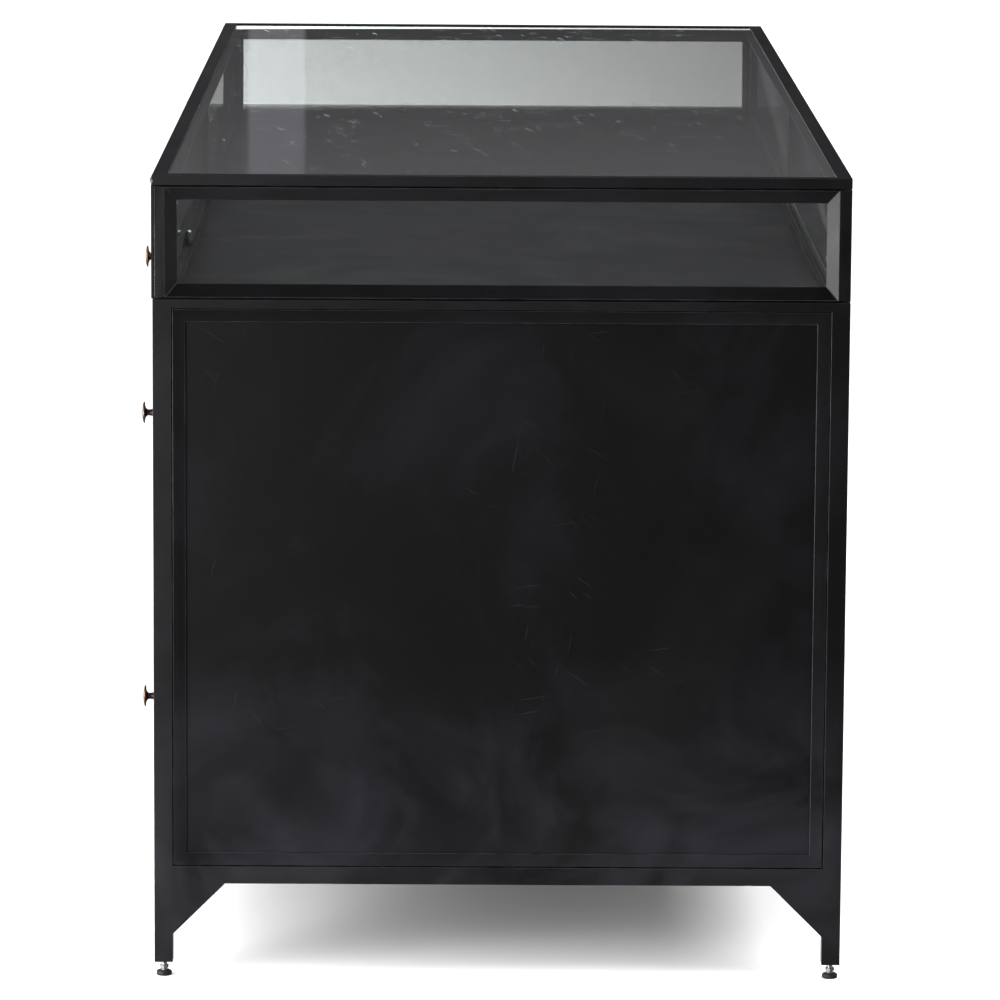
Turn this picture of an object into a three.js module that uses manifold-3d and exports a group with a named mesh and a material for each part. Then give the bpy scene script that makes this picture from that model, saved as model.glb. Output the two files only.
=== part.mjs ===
// Glass-topped iron display case: a glazed show chamber on a drawer base that stands on four short legs.
// Millimetres, +Z up, the drawers and glazed flaps face -Y, and the floor is z = 0.
import * as THREE from "three";
import { mergeVertices } from "three/addons/utils/BufferGeometryUtils.js";
import Module from "manifold-3d";

const wasm = await Module();
wasm.setup();

// ---------------------------------------------------------------- driving dimensions
const LENGTH = 1720; // along X
const DEPTH = 670; // along Y, without knobs
const HEIGHT = 787.5; // floor to the top of the top frame
const GAP = 0.3; // between pieces that meet
const PLAY = 1.5; // round a drawer front or between the flaps
const CLEAR = 0.01; // how far a bevel's cutting tool stands out of the face it cuts

const LEG = 18; // square section of legs, rails and stiles
const LEG_BOTTOM = 14.5; // the levelling glides fill what is below
const BASE_BOTTOM = 93.6; // underside of the bottom rails
const BOTTOM_RAIL = 17.2; // height of the bottom rails
const DECK_LEVEL = 667.8; // joint between the drawer base and the show chamber
const TOP_RAIL = 8.6; // height of the rails just under that joint
const GUSSET = 51; // legs of the corner gusset triangles
const PLATE = 3; // thickness of the gussets

const TOP_FRAME = 9.5; // height of the top frame
const TOP_FLANGE = 14.5; // width of its top face
const TOP_REACH = 23.5; // how far in its ledge reaches under the glass
const GLASS_RECESS = 1.2; // top glass below the frame's top
const TOP_GLASS = 6;
const PANE = 4; // thickness of the upright panes

const WINDOW_FRAME = 14; // thickness of the upright window frames
const WINDOW_STILE = 12; // flat part of a window stile
const BEVEL = 11.4; // width of the window bevels
const BEVEL_DEPTH = 9.3; // how far the pane sits behind the face
const BEVEL_LIP = 0.8; // flat left outside a bevel along the top and bottom
const WINDOW_LOW = 682.5;
const WINDOW_HIGH = 762.4;
const REBATE = 4; // how far a pane reaches behind its bevel
const BACK_POST = 10; // flat part of the post between the back panes
const SEAM = 1.1; // shadow line above and below the upright window frames
const SEAM_DEPTH = 2.5;

const FLAP_PROUD = 1; // flap face in front of the base's front
const FLAP_SKIN = 2.5; // overlay plate of a flap
const FLAP_DEPTH = 12; // whole thickness of a flap
const FLAP_BEVEL = 8;
const FLAP_BEVEL_DEPTH = 7.3;
const FLAP_BOTTOM = 18.4; // flat part of the flap's bottom rail
const FLAP_TOP = 6;
const FLAP_END = 24; // flat part of the stile that covers the end frame
const FLAP_INNER = 16; // flat part of the stile at the middle
const FLAP_POST = 16; // width of the post behind the gap between the flaps
const HINGE_RADIUS = 2.2;
const HINGE_PIN = 1.2;
const HINGE_BORE = 1.5;
const HINGE_HEAD = 2.6; // radius of the pin's round head
const HINGE_HEAD_LENGTH = 2;
const HINGE_KNUCKLE = 18; // length of each of a hinge's three knuckles
const HINGE_GAP = 0.4;
const HINGE_OUT = 0.4; // axis in front of the top frame's face
const HINGE_RISE = 3.8; // axis above the top frame's underside
const HINGE_LEAF = 1.5;
const HINGE_ROOM = 0.4; // round a hinge, in the top frame's recess
const HINGE_INSET = 3; // outer hinge's pin head from the case's end
const HINGE_FROM_MIDDLE = 60; // inner hinge's pin head from the middle

const MOULDING = 12.6; // width of the bevelled panel mouldings
const MOULDING_GAP = 0.8; // shadow line round a moulding
const MOULDING_STEP = 0.8; // moulding's outer edge below the frame's face
const MOULDING_LIP = 0.6; // flat left outside its bevel
const MOULDING_EDGE = 1.2; // thickness left at its inner edge
const PANEL_DEPTH = 5; // sheet panels behind the frame's face
const SHEET = 1.5;

const STILE = 24; // width of the centre stiles
const DECK_SHEET = 2;
const DECK_SINK = 4; // deck's underside below the joint
const DECK_RIM = 2; // height of its rim above the joint
const DECK_RIM_WIDTH = 4;
const PAN_RISE = 4; // bottom pan above the bottom rails' underside
const DIVIDER = 2;

const DRAWER_RAIL_LOW = 366;
const DRAWER_RAIL_HIGH = 386;
const DRAWER_FRONT = 16; // folded depth of a drawer front
const DRAWER_GROOVE_INSET = 20; // pressed line round a drawer front
const DRAWER_GROOVE = 3;
const DRAWER_GROOVE_DEPTH = 0.8;
const DRAWER_WALL = 2;
const DRAWER_SIDE_ROOM = 13; // between a drawer front's end and its box
const DRAWER_BACK = 285; // back of the drawer boxes
const DRAWER_FLOOR_RISE = 9; // box bottom above the front's bottom
const DRAWER_BOX_HEIGHT = 0.72; // top of a box, as a share of its bay
const RUNNER_LEVEL = 0.45; // top of its runners, as a share of its bay
const RUNNER = 10; // width of the fixed runner bars
const RUNNER_HEIGHT = 16;
const RUNNER_STRAP = 12; // cross strap at the back of a pair of bars
const RUNNER_STRAP_GAP = 4; // between the strap and a closed drawer
const RIB_START = 20; // sliding ribs start behind the front of the box

const KNOB_FROM_END = 235;
const KNOB_RADIUS = 10.9;
const DRAWER_KNOB = 23; // length of a drawer's knobs
const FLAP_KNOB = 18; // length of a flap's knobs
const FLAP_KNOB_Z = 679.8;
const UPPER_KNOB_Z = 522;
const LOWER_KNOB_Z = 232;

const GLIDE_PAD = 7.6; // radius
const GLIDE_PAD_HEIGHT = 6;
const GLIDE_STEM = 3;
const GLIDE_BORE = 3.4;
const GLIDE_BORE_DEPTH = 34;
const GLIDE_STEM_TOP = 30;
const GLIDE_NUT = 5; // radius of the hexagon on the stem
const GLIDE_NUT_HEIGHT = 3;

// ---------------------------------------------------------------- values that follow from them
const END = LENGTH / 2;
const SIDE = DEPTH / 2;
const FRONT = -SIDE;
const BACK = SIDE;
const TOP_UNDERSIDE = HEIGHT - TOP_FRAME;
const GLASS_TOP = HEIGHT - GLASS_RECESS;
const LEDGE_TOP = GLASS_TOP - TOP_GLASS - GAP;
const FRAME_LOW = DECK_LEVEL + GAP; // bottom and top of the upright window frames
const FRAME_HIGH = TOP_UNDERSIDE - GAP;
const FACE_LOW = DECK_LEVEL + SEAM; // and of their faces
const FACE_HIGH = TOP_UNDERSIDE - SEAM;
const BASE_TOP = BASE_BOTTOM + BOTTOM_RAIL; // top of the bottom rails
const BAY_TOP = DECK_LEVEL - TOP_RAIL; // underside of the top rails
const FLAP_FACE = FRONT - FLAP_PROUD;
const FLAP_LOW = FRAME_LOW + GAP;
const FLAP_HIGH = FRAME_HIGH - GAP;
const FLAP_GLASS_LOW = FLAP_LOW + FLAP_BOTTOM + FLAP_BEVEL;
const FLAP_GLASS_HIGH = FLAP_HIGH - FLAP_TOP - FLAP_BEVEL;
const HINGE_AXIS = [FRONT - HINGE_OUT, TOP_UNDERSIDE + HINGE_RISE];
const HINGE_LENGTH = HINGE_HEAD_LENGTH + HINGE_GAP + 3 * HINGE_KNUCKLE;
const INNER_END = END - LEG; // inside faces of the legs
const INNER_BACK = SIDE - LEG;
const SIDES = [
  ["right", 1],
  ["left", -1],
];

// ---------------------------------------------------------------- materials
const material = (color, roughness, metalness) =>
  new THREE.MeshStandardMaterial({ color, roughness, metalness });
const ironFinish = () => material(0x2a2a2d, 0.42, 0.7);
const sheetFinish = () => material(0x222225, 0.45, 0.7);
const bronzeFinish = () => material(0x8a5a3c, 0.35, 0.9);
const zincFinish = () => material(0xb8bcc0, 0.3, 0.9);
const galvanisedFinish = () => material(0x3c3c3f, 0.5, 0.8);
const glassFinish = () =>
  new THREE.MeshStandardMaterial({
    color: 0xdfe9e6,
    roughness: 0.05,
    metalness: 0,
    transparent: true,
    opacity: 0.3,
  });

// ---------------------------------------------------------------- solids from three.js geometries
function solid(geometry) {
  const g = geometry.clone();
  g.deleteAttribute("normal");
  g.deleteAttribute("uv");
  const merged = mergeVertices(g, 1e-4);
  return new wasm.Manifold(
    new wasm.Mesh({
      numProp: 3,
      vertProperties: new Float32Array(merged.attributes.position.array),
      triVerts: new Uint32Array(merged.index.array),
    }),
  );
}

// A block between two opposite corners, given in any order.
function block(x0, x1, y0, y1, z0, z1) {
  const g = new THREE.BoxGeometry(
    Math.abs(x1 - x0),
    Math.abs(y1 - y0),
    Math.abs(z1 - z0),
  );
  g.translate((x0 + x1) / 2, (y0 + y1) / 2, (z0 + z1) / 2);
  return solid(g);
}

// A four-sided funnel: rectangle A on plane a and rectangle B on plane b of the given axis.
// A rectangle is [u0, u1, v0, v1] on the other two axes, in X, Y, Z order.
function funnel(axis, a, rectA, b, rectB) {
  const g = new THREE.BoxGeometry(1, 1, 1);
  const p = g.attributes.position;
  const others = [0, 1, 2].filter((k) => k !== axis);
  for (let i = 0; i < p.count; i += 1) {
    const corner = [p.getX(i), p.getY(i), p.getZ(i)];
    const onB = corner[axis] > 0 === b > a;
    const rect = onB ? rectB : rectA;
    const place = [0, 0, 0];
    place[axis] = onB ? b : a;
    place[others[0]] = corner[others[0]] > 0 ? rect[1] : rect[0];
    place[others[1]] = corner[others[1]] > 0 ? rect[3] : rect[2];
    p.setXYZ(i, ...place);
  }
  return solid(g);
}

const rectangle = (u0, u1, z0, z1) => [
  [u0, z0],
  [u1, z0],
  [u1, z1],
  [u0, z1],
];

// An outline extruded along X or Y; its points, and its holes', are [the other horizontal axis, z].
function bar(axis, from, to, points, holes = []) {
  const path = (list) => list.map(([u, z]) => new THREE.Vector2(u, z));
  const outline = new THREE.Shape(path(points));
  outline.holes = holes.map((hole) => new THREE.Path(path(hole)));
  const g = new THREE.ExtrudeGeometry(outline, {
    depth: to - from,
    bevelEnabled: false,
  });
  if (axis === "x") {
    g.applyMatrix4(
      new THREE.Matrix4().makeBasis(
        new THREE.Vector3(0, 1, 0),
        new THREE.Vector3(0, 0, 1),
        new THREE.Vector3(1, 0, 0),
      ),
    );
    g.translate(from, 0, 0);
  } else {
    g.rotateX(Math.PI / 2);
    g.translate(0, to, 0);
  }
  return solid(g);
}

function rod(axis, radius, from, to, centre, sides = 16) {
  const g = new THREE.CylinderGeometry(radius, radius, to - from, sides);
  if (axis === "x") {
    g.rotateZ(Math.PI / 2);
    g.translate((from + to) / 2, centre[0], centre[1]);
  } else {
    g.rotateX(Math.PI / 2);
    g.translate(centre[0], centre[1], (from + to) / 2);
  }
  return solid(g);
}

const join = (parts) => parts.reduce((whole, part) => whole.add(part));
const cut = (body, ...tools) =>
  tools.reduce((rest, tool) => rest.subtract(tool), body);

function geometryOf(manifold) {
  const mesh = manifold.getMesh();
  const points = new Float32Array(mesh.numVert * 3);
  for (let i = 0; i < mesh.numVert; i += 1)
    points.set(
      mesh.vertProperties.subarray(i * mesh.numProp, i * mesh.numProp + 3),
      i * 3,
    );
  const g = new THREE.BufferGeometry();
  g.setAttribute("position", new THREE.BufferAttribute(points, 3));
  g.setIndex(new THREE.BufferAttribute(mesh.triVerts, 1));
  g.computeVertexNormals();
  return g;
}

const displayCase = new THREE.Group();

function addSolid(name, manifold, finish) {
  const mesh = new THREE.Mesh(geometryOf(manifold), finish);
  mesh.name = name;
  displayCase.add(mesh);
}

// ---------------------------------------------------------------- flap hinges
// A hinge has a round pin head at its outer end, then a flap knuckle, a fixed one and a flap one.
// hingesOf gives, for each hinge of a flap, its outer end and the direction it runs in.
const hingesOf = (side) => [
  { name: "outer", from: side * (END - HINGE_INSET), run: -side },
  { name: "inner", from: side * (HINGE_FROM_MIDDLE + HINGE_LENGTH), run: -side },
];

// Start and end, in order, of a stretch of a hinge measured from its outer end.
const stretch = ({ from, run }, near, far) =>
  [from + run * near, from + run * far].sort((a, b) => a - b);

function knuckleSpan(hinge, index) {
  const start = HINGE_HEAD_LENGTH + HINGE_GAP + index * HINGE_KNUCKLE;
  return stretch(hinge, start, start + HINGE_KNUCKLE - HINGE_GAP);
}

function hingePin(hinge) {
  const head = rod("x", HINGE_HEAD, ...stretch(hinge, 0, HINGE_HEAD_LENGTH), HINGE_AXIS, 20);
  const stem = rod("x", HINGE_PIN, ...stretch(hinge, 1, HINGE_LENGTH - 1), HINGE_AXIS, 10);
  return join([head, stem]);
}

const hingeBore = () => rod("x", HINGE_BORE, -END - 1, END + 1, HINGE_AXIS, 12);

// The top frame's recess behind a hinge, open at the front and below.
function hingeRecess(hinge) {
  const reach = HINGE_HEAD + HINGE_ROOM;
  const [y, z] = HINGE_AXIS;
  const span = stretch(hinge, -HINGE_ROOM, HINGE_LENGTH + HINGE_GAP);
  return block(...span, FRONT - 1, y + reach, TOP_UNDERSIDE - 1, z + reach);
}

// The knuckle in the middle, with a leaf back into the top frame.
function fixedKnuckle(hinge) {
  const span = knuckleSpan(hinge, 1);
  const [y, z] = HINGE_AXIS;
  const root = y + HINGE_HEAD + HINGE_ROOM + 1;
  const leaf = block(...span, y, root, z - HINGE_LEAF / 2, z + HINGE_LEAF / 2);
  return join([rod("x", HINGE_RADIUS, ...span, HINGE_AXIS, 16), leaf]);
}

// The two outer knuckles, each with a leaf down into the flap's plate.
function flapKnuckles(hinge) {
  const z = HINGE_AXIS[1];
  return [0, 2].flatMap((index) => {
    const span = knuckleSpan(hinge, index);
    const leaf = block(...span, FLAP_FACE + CLEAR, FLAP_FACE + HINGE_LEAF, FLAP_HIGH - 1, z);
    return [rod("x", HINGE_RADIUS, ...span, HINGE_AXIS, 16), leaf];
  });
}

// ---------------------------------------------------------------- top
// The top frame is an L section all round: a flat face and a ledge for the glass. It is recessed
// behind the hinges and carries the fixed middle knuckle of each.
const insetBlock = (inset, z0, z1) =>
  block(inset - END, END - inset, inset - SIDE, SIDE - inset, z0, z1);

function topFrame() {
  const hinges = SIDES.flatMap(([, side]) => hingesOf(side));
  const ring = cut(
    insetBlock(0, TOP_UNDERSIDE, HEIGHT),
    insetBlock(TOP_FLANGE, LEDGE_TOP, HEIGHT + 1),
    insetBlock(TOP_REACH, TOP_UNDERSIDE - 1, HEIGHT),
    ...hinges.map(hingeRecess),
  );
  return cut(join([ring, ...hinges.map(fixedKnuckle)]), hingeBore());
}

const topGlass = () => insetBlock(TOP_FLANGE + GAP, GLASS_TOP - TOP_GLASS, GLASS_TOP);

// Strips cut from an upright frame's face along the seams above and below it, for a shadow line.
function seamStrips(axis, face, n) {
  const across = [face + n, face - n * SEAM_DEPTH];
  const along = [-LENGTH, LENGTH];
  return [
    [0, FACE_LOW],
    [FACE_HIGH, HEIGHT],
  ].map((z) => (axis === 0 ? block(...across, ...along, ...z) : block(...along, ...across, ...z)));
}

// ---------------------------------------------------------------- end windows
function endWindowFrame(side) {
  const face = side * END;
  const stile = SIDE - WINDOW_STILE;
  const opening = stile - BEVEL;
  const front = FLAP_FACE + FLAP_SKIN + GAP;
  const body = block(face, face - side * WINDOW_FRAME, front, BACK, FRAME_LOW, FRAME_HIGH);
  const bevel = funnel(
    0,
    face + side * CLEAR,
    [-stile, stile, FACE_LOW + BEVEL_LIP, FACE_HIGH - BEVEL_LIP],
    face - side * BEVEL_DEPTH,
    [-opening, opening, WINDOW_LOW, WINDOW_HIGH],
  );
  const through = block(face, face - side * END, -opening, opening, WINDOW_LOW, WINDOW_HIGH);
  const rebate = block(
    face - side * BEVEL_DEPTH,
    face - side * END,
    -opening - REBATE,
    opening + REBATE,
    WINDOW_LOW - REBATE,
    WINDOW_HIGH + REBATE,
  );
  return cut(body, bevel, through, rebate, ...seamStrips(0, face, side));
}

function endWindowGlass(side) {
  const outside = END - BEVEL_DEPTH - GAP;
  const reach = SIDE - WINDOW_STILE - BEVEL + REBATE - GAP;
  return block(
    side * outside,
    side * (outside - PANE),
    -reach,
    reach,
    WINDOW_LOW - REBATE + GAP,
    WINDOW_HIGH + REBATE - GAP,
  );
}

// ---------------------------------------------------------------- back windows
// Each pane's opening along X, from the middle post to the end stile.
function backOpening(side) {
  const inner = BACK_POST / 2 + BEVEL;
  const outer = END - WINDOW_FRAME - GAP - WINDOW_STILE - BEVEL;
  return side > 0 ? [inner, outer] : [-outer, -inner];
}

function backWindowFrame() {
  const reach = END - WINDOW_FRAME - GAP;
  const body = block(-reach, reach, BACK, BACK - WINDOW_FRAME, FRAME_LOW, FRAME_HIGH);
  const tools = SIDES.flatMap(([, side]) => {
    const [x0, x1] = backOpening(side);
    const bevel = funnel(
      1,
      BACK + CLEAR,
      [x0 - BEVEL, x1 + BEVEL, FACE_LOW + BEVEL_LIP, FACE_HIGH - BEVEL_LIP],
      BACK - BEVEL_DEPTH,
      [x0, x1, WINDOW_LOW, WINDOW_HIGH],
    );
    const through = block(x0, x1, 0, BACK, WINDOW_LOW, WINDOW_HIGH);
    const rebate = block(
      x0 - REBATE,
      x1 + REBATE,
      0,
      BACK - BEVEL_DEPTH,
      WINDOW_LOW - REBATE,
      WINDOW_HIGH + REBATE,
    );
    return [bevel, through, rebate];
  });
  return cut(body, ...tools, ...seamStrips(1, BACK, 1));
}

function backGlass(side) {
  const [x0, x1] = backOpening(side);
  const outside = BACK - BEVEL_DEPTH - GAP;
  const reach = REBATE - GAP;
  return block(
    x0 - reach,
    x1 + reach,
    outside,
    outside - PANE,
    WINDOW_LOW - reach,
    WINDOW_HIGH + reach,
  );
}

// ---------------------------------------------------------------- front flaps
// A flap hangs from the top frame: a thin plate overlaps the end frames, a deeper frame fits between them.
const flapSpan = (side) => (side > 0 ? [PLAY / 2, END] : [-END, -PLAY / 2]);

function flapOpening(side) {
  const inner = PLAY / 2 + FLAP_INNER + FLAP_BEVEL;
  const outer = END - FLAP_END - FLAP_BEVEL;
  return side > 0 ? [inner, outer] : [-outer, -inner];
}

function flapFrame(side) {
  const [x0, x1] = flapSpan(side);
  const [g0, g1] = flapOpening(side);
  const inset = WINDOW_FRAME + 2 * GAP;
  const deepSpan = side > 0 ? [x0, x1 - inset] : [x0 + inset, x1];
  const paneFace = FLAP_FACE + FLAP_BEVEL_DEPTH;
  const skin = block(x0, x1, FLAP_FACE, FLAP_FACE + FLAP_SKIN, FLAP_LOW, FLAP_HIGH);
  const deep = block(...deepSpan, FLAP_FACE + 1, FLAP_FACE + FLAP_DEPTH, FLAP_LOW, FLAP_HIGH);
  const bevel = funnel(
    1,
    FLAP_FACE - CLEAR,
    [g0 - FLAP_BEVEL, g1 + FLAP_BEVEL, FLAP_GLASS_LOW - FLAP_BEVEL, FLAP_GLASS_HIGH + FLAP_BEVEL],
    paneFace,
    [g0, g1, FLAP_GLASS_LOW, FLAP_GLASS_HIGH],
  );
  const through = block(g0, g1, FLAP_FACE, 0, FLAP_GLASS_LOW, FLAP_GLASS_HIGH);
  const rebate = block(
    g0 - REBATE,
    g1 + REBATE,
    paneFace,
    0,
    FLAP_GLASS_LOW - REBATE,
    FLAP_GLASS_HIGH + REBATE,
  );
  const knuckles = hingesOf(side).flatMap(flapKnuckles);
  return cut(join([skin, deep, ...knuckles]), bevel, through, rebate, hingeBore());
}

function flapGlass(side) {
  const [g0, g1] = flapOpening(side);
  const outside = FLAP_FACE + FLAP_BEVEL_DEPTH + GAP;
  const reach = REBATE - GAP;
  return block(
    g0 - reach,
    g1 + reach,
    outside,
    outside + PANE,
    FLAP_GLASS_LOW - reach,
    FLAP_GLASS_HIGH + reach,
  );
}

// ---------------------------------------------------------------- welded frames of the base
// The gussets' triangles belong to each frame's outline; behind the plates they are cut away again.
// corner is where leg and rail meet, and direction points from it along the rail.
function gussetRoom(axis, corner, direction, face, inward) {
  const reach = 1.1 * GUSSET; // clear of the slanting edge
  const triangle = [
    [corner, BASE_BOTTOM],
    [corner, BASE_BOTTOM - reach],
    [corner + direction * reach, BASE_BOTTOM],
  ];
  const span = [face + inward * PLATE, face + inward * (LEG + 1)].sort((a, b) => a - b);
  return bar(axis, ...span, triangle);
}

// One end: two legs, a top rail, a bottom rail and two gusset plates.
function endFrame(side) {
  const span = [side * INNER_END, side * END].sort((p, q) => p - q);
  const outline = [
    [FRONT, LEG_BOTTOM],
    [-INNER_BACK, LEG_BOTTOM],
    [-INNER_BACK, BASE_BOTTOM - GUSSET],
    [-INNER_BACK + GUSSET, BASE_BOTTOM],
    [INNER_BACK - GUSSET, BASE_BOTTOM],
    [INNER_BACK, BASE_BOTTOM - GUSSET],
    [INNER_BACK, LEG_BOTTOM],
    [BACK, LEG_BOTTOM],
    [BACK, DECK_LEVEL],
    [FRONT, DECK_LEVEL],
  ];
  const opening = rectangle(-INNER_BACK, INNER_BACK, BASE_TOP, BAY_TOP);
  const frame = bar("x", ...span, outline, [opening]);
  const rooms = [-1, 1].map((hand) =>
    gussetRoom("x", hand * INNER_BACK, -hand, side * END, -side),
  );
  const bores = [-1, 1].map((hand) =>
    rod(
      "z",
      GLIDE_BORE,
      LEG_BOTTOM - 1,
      LEG_BOTTOM + GLIDE_BORE_DEPTH,
      [side * (END - LEG / 2), hand * (SIDE - LEG / 2)],
      12,
    ),
  );
  return cut(frame, ...rooms, ...bores);
}

// The long frames fit between the legs: rails with a centre stile, left when the bays are cut out,
// and gusset plates. levels lists the bottom and top of each row of bays.
function longFrame(hand, levels) {
  const reach = INNER_END - GAP;
  const face = hand * SIDE;
  const outline = [
    [-reach, BASE_BOTTOM - GUSSET],
    [-reach + GUSSET, BASE_BOTTOM],
    [reach - GUSSET, BASE_BOTTOM],
    [reach, BASE_BOTTOM - GUSSET],
    [reach, DECK_LEVEL],
    [-reach, DECK_LEVEL],
  ];
  const span = [hand * INNER_BACK, face].sort((p, q) => p - q);
  const bays = levels.flatMap(([z0, z1]) =>
    [-1, 1].map((side) => block(side * (STILE / 2), side * END, 0, hand * DEPTH, z0, z1)),
  );
  const rooms = [-1, 1].map((side) =>
    gussetRoom("y", side * (reach + 1), -side, face, -hand),
  );
  return cut(bar("y", ...span, outline), ...bays, ...rooms);
}

const backFrame = () => longFrame(1, [[BASE_TOP, BAY_TOP]]);

// The front frame has four drawer bays, and carries the post between the flaps.
function frontFrame() {
  const levels = [
    [BASE_TOP, DRAWER_RAIL_LOW],
    [DRAWER_RAIL_HIGH, BAY_TOP],
  ];
  const post = block(
    -FLAP_POST / 2,
    FLAP_POST / 2,
    FLAP_FACE + FLAP_DEPTH + GAP,
    -INNER_BACK - 1,
    DECK_LEVEL - 1,
    FRAME_HIGH,
  );
  return longFrame(-1, levels).add(post);
}

// ---------------------------------------------------------------- panels of the ends and the back
// A panel fills an opening: u is its span along the wall, n the outward direction.
const endPanel = (side) => ({
  axis: 0,
  n: side,
  face: side * END,
  u: [-INNER_BACK, INNER_BACK],
});

const backPanel = (side) => ({
  axis: 1,
  n: 1,
  face: BACK,
  u: side > 0 ? [STILE / 2, INNER_END] : [-INNER_END, -STILE / 2],
});

// The panel's opening drawn in all round, as [u0, u1, z0, z1].
const within = ({ u }, inset) => [u[0] + inset, u[1] - inset, BASE_TOP + inset, BAY_TOP - inset];

function slab(panel, near, far, inset) {
  const { axis, n, face } = panel;
  const across = [face - n * near, face - n * far];
  const rect = within(panel, inset);
  return axis === 0
    ? block(...across, ...rect)
    : block(rect[0], rect[1], ...across, rect[2], rect[3]);
}

function moulding(panel) {
  const { axis, n, face } = panel;
  const back = PANEL_DEPTH - GAP;
  const inner = MOULDING_GAP + MOULDING;
  const bevel = funnel(
    axis,
    face - n * (MOULDING_STEP - CLEAR),
    within(panel, MOULDING_GAP + MOULDING_LIP),
    face - n * (back - MOULDING_EDGE),
    within(panel, inner),
  );
  const middle = slab(panel, 0, 2 * PANEL_DEPTH, inner);
  return cut(slab(panel, MOULDING_STEP, back, MOULDING_GAP), bevel, middle);
}

const sheet = (panel) => slab(panel, PANEL_DEPTH, PANEL_DEPTH + SHEET, GAP);

// ---------------------------------------------------------------- inside the base
// The deck is a shallow tray between the top rails; its low rim stops at the front and back stiles.
function deck() {
  const x = INNER_END - GAP;
  const y = INNER_BACK - GAP;
  const low = DECK_LEVEL - DECK_SINK;
  const top = DECK_LEVEL + DECK_RIM;
  const rimX = x - DECK_RIM_WIDTH;
  const rimY = y - DECK_RIM_WIDTH;
  return cut(
    block(-x, x, -y, y, low, top),
    block(-rimX, rimX, -rimY, rimY, low + DECK_SHEET, top + 1),
    block(-STILE, STILE, -y - 1, -y + 1, low - 1, top + 1),
  );
}

const PAN_LOW = BASE_BOTTOM + PAN_RISE;
const PAN_TOP = PAN_LOW + DECK_SHEET;

function bottomPan() {
  const x = INNER_END - GAP;
  const y = INNER_BACK - GAP;
  return block(-x, x, -y, y, PAN_LOW, PAN_TOP);
}

function centreDivider() {
  const y = INNER_BACK - GAP;
  return block(-DIVIDER / 2, DIVIDER / 2, -y, y, PAN_TOP + GAP, DECK_LEVEL - DECK_SINK - GAP);
}

// ---------------------------------------------------------------- drawers
const ROWS = {
  upper: { low: DRAWER_RAIL_HIGH, high: BAY_TOP, knobZ: UPPER_KNOB_Z },
  lower: { low: BASE_TOP, high: DRAWER_RAIL_LOW, knobZ: LOWER_KNOB_Z },
};

// A drawer bay's drawer front, as [x0, x1, z0, z1].
function frontRect(side, row) {
  const inner = STILE / 2 + PLAY;
  const outer = INNER_END - PLAY;
  const x = side > 0 ? [inner, outer] : [-outer, -inner];
  return [...x, row.low + PLAY, row.high - PLAY];
}

// The front is folded from sheet: a pan open to the back, with a pressed line round its face.
function drawerFront(side, row) {
  const [x0, x1, z0, z1] = frontRect(side, row);
  const inset = DRAWER_GROOVE_INSET;
  const groove = cut(
    block(x0 + inset, x1 - inset, FRONT - 1, FRONT + DRAWER_GROOVE_DEPTH, z0 + inset, z1 - inset),
    block(
      x0 + inset + DRAWER_GROOVE,
      x1 - inset - DRAWER_GROOVE,
      FRONT - 1,
      FRONT + DRAWER_FRONT,
      z0 + inset + DRAWER_GROOVE,
      z1 - inset - DRAWER_GROOVE,
    ),
  );
  return cut(
    block(x0, x1, FRONT, FRONT + DRAWER_FRONT, z0, z1),
    block(
      x0 + DRAWER_WALL,
      x1 - DRAWER_WALL,
      FRONT + DRAWER_WALL,
      FRONT + DRAWER_FRONT + 1,
      z0 + DRAWER_WALL,
      z1 - DRAWER_WALL,
    ),
    groove,
  );
}

const levelIn = (row, share) => row.low + (row.high - row.low) * share;

// The box hangs on two side ribs that slide on the fixed runner bars.
function drawerBox(side, row) {
  const [x0, x1, z0] = frontRect(side, row);
  const b0 = x0 + DRAWER_SIDE_ROOM;
  const b1 = x1 - DRAWER_SIDE_ROOM;
  const y0 = FRONT + DRAWER_FRONT + GAP;
  const low = z0 + DRAWER_FLOOR_RISE;
  const high = levelIn(row, DRAWER_BOX_HEIGHT);
  const rib = levelIn(row, RUNNER_LEVEL) + GAP;
  const wall = DRAWER_WALL;
  const shell = join([
    block(b0, b1, y0, DRAWER_BACK, low, high),
    block(b0 - RUNNER, b1 + RUNNER, y0 + RIB_START, DRAWER_BACK, rib, rib + wall),
  ]);
  const inside = block(b0 + wall, b1 - wall, y0 + wall, DRAWER_BACK - wall, low + wall, high + 1);
  return cut(shell, inside);
}

// A pair of fixed bars joined by a strap behind the drawer.
function runnerPair(side, row) {
  const [x0, x1] = frontRect(side, row);
  const top = levelIn(row, RUNNER_LEVEL);
  const low = top - RUNNER_HEIGHT;
  const y0 = FRONT + LEG + GAP;
  const y1 = INNER_BACK - RUNNER_STRAP;
  return join([
    block(x0, x0 + RUNNER, y0, y1 + 1, low, top),
    block(x1 - RUNNER, x1, y0, y1 + 1, low, top),
    block(x0, x1, DRAWER_BACK + RUNNER_STRAP_GAP, y1 + 1, low, top),
  ]);
}

// ---------------------------------------------------------------- knobs and glides
// A mushroom knob: flared foot, slim neck and a thin domed disc, turned about its own axis.
// Points are [radius, distance]: the foot's from the mounting face, the disc's back from its dome.
function knobGeometry(length) {
  const foot = [
    [0, 0],
    [6.6, 0],
    [6.4, 0.05 * length],
    [5.5, 0.25 * length],
    [4.4, 0.43 * length],
  ];
  const head = [
    [3.4, 8.6],
    [3.1, 7],
    [3.6, 5.9],
    [4.8, 4.9],
    [6.8, 3.9],
    [KNOB_RADIUS - 0.4, 3.2],
    [KNOB_RADIUS, 2.7],
    [KNOB_RADIUS - 0.3, 2.2],
    [7.7, 1.1],
    [3.9, 0.3],
    [0, 0],
  ];
  const points = [...foot, ...head.map(([r, back]) => [r, length - back])];
  return new THREE.LatheGeometry(points.map(([r, y]) => new THREE.Vector2(r, y)), 16);
}

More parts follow.
